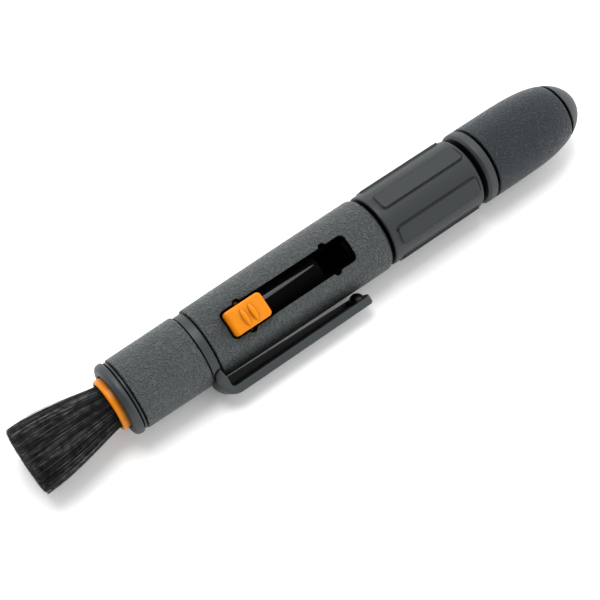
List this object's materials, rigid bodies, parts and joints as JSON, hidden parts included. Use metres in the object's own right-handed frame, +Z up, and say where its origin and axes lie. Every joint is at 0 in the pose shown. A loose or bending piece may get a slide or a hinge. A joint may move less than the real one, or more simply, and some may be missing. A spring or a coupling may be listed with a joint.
{
  "type": "lens cleaning pen",
  "caption": "Pen-shaped lens cleaner with a sliding brush, a thumb button, a pocket clip and a pull-off cap over a rocking cleaning tip.",
  "frame": {"origin": "bottom centre of the box round the whole pen as it lies on its clip and grip", "axes": "+X along the pen from the brush to the cap, +Y across it away from the clip, +Z up"},
  "size_m": [0.1212, 0.0176, 0.0157],
  "materials": {
    "slate_grain": "leather-grain moulding, matte",
    "cap_grain": "fine-grain moulding, matte",
    "slate_satin": "smooth satin",
    "slate_smooth": "smooth satin",
    "black_plastic": "satin",
    "black_gloss": "gloss",
    "black_rubber": "matte",
    "orange_plastic": "satin",
    "bristle": "fine soft fibre",
    "carbon_foam": "matte foam loaded with carbon powder",
    "chamois": "fine suede"
  },
  "bodies": {
    "barrel": {"nose_bushing": "slate_smooth", "spacer_ring": "slate_smooth", "front_sleeve": "slate_grain", "clip_ring": "slate_smooth", "main_barrel": "slate_grain", "core_tube": "black_plastic", "grip_collar": "slate_satin", "neck": "black_plastic", "grip_seal": "black_rubber", "retaining_ring": "black_plastic", "tip_post": "black_plastic"},
    "brush_carriage": {"thumb_slider": "orange_plastic", "detent_spring": "orange_plastic", "brush_carrier": "black_gloss", "brush_ferrule": "orange_plastic", "bristles": "bristle"},
    "clip": {"clip_arm": "slate_smooth"},
    "ring": {"twist_ring": "slate_smooth", "cap_seal": "black_rubber"},
    "cap": {"cap_shell": "cap_grain", "cap_liner": "black_plastic", "carbon_sponge": "carbon_foam", "end_plug": "slate_smooth", "plug_gasket": "black_rubber"},
    "tip": {"tip_head": "black_rubber", "tip_pad": "chamois"}
  },
  "joints": [
    {"name": "brush_slide", "type": "slide", "parent": "barrel", "child": "brush_carriage", "axis": [1, 0, 0], "range_m": [0, 0.0181], "deforming": ["bristles", "detent_spring"]},
    {"name": "clip_flex", "type": "hinge", "parent": "barrel", "child": "clip", "pos_m": [-0.02612, -0.00336, 0.0046], "axis": [0, 0.4924, -0.8704], "range_deg": [0, 6], "stiffness_Nm_per_rad": 0.3, "springref_deg": -1.72},
    {"name": "cap_twist", "type": "hinge", "parent": "barrel", "child": "ring", "pos_m": [0.03513, 0.00152, 0.00736], "axis": [1, 0, 0], "continuous": true},
    {"name": "cap_pull", "type": "slide", "parent": "ring", "child": "cap", "axis": [1, 0, 0], "range_m": [0, 0.03]},
    {"name": "tip_flex", "type": "hinge", "parent": "barrel", "child": "tip", "pos_m": [0.04462, 0.00152, 0.00736], "axis": [0, 1, 0], "range_deg": [-5, 5], "stiffness_Nm_per_rad": 0.02}
  ]
}
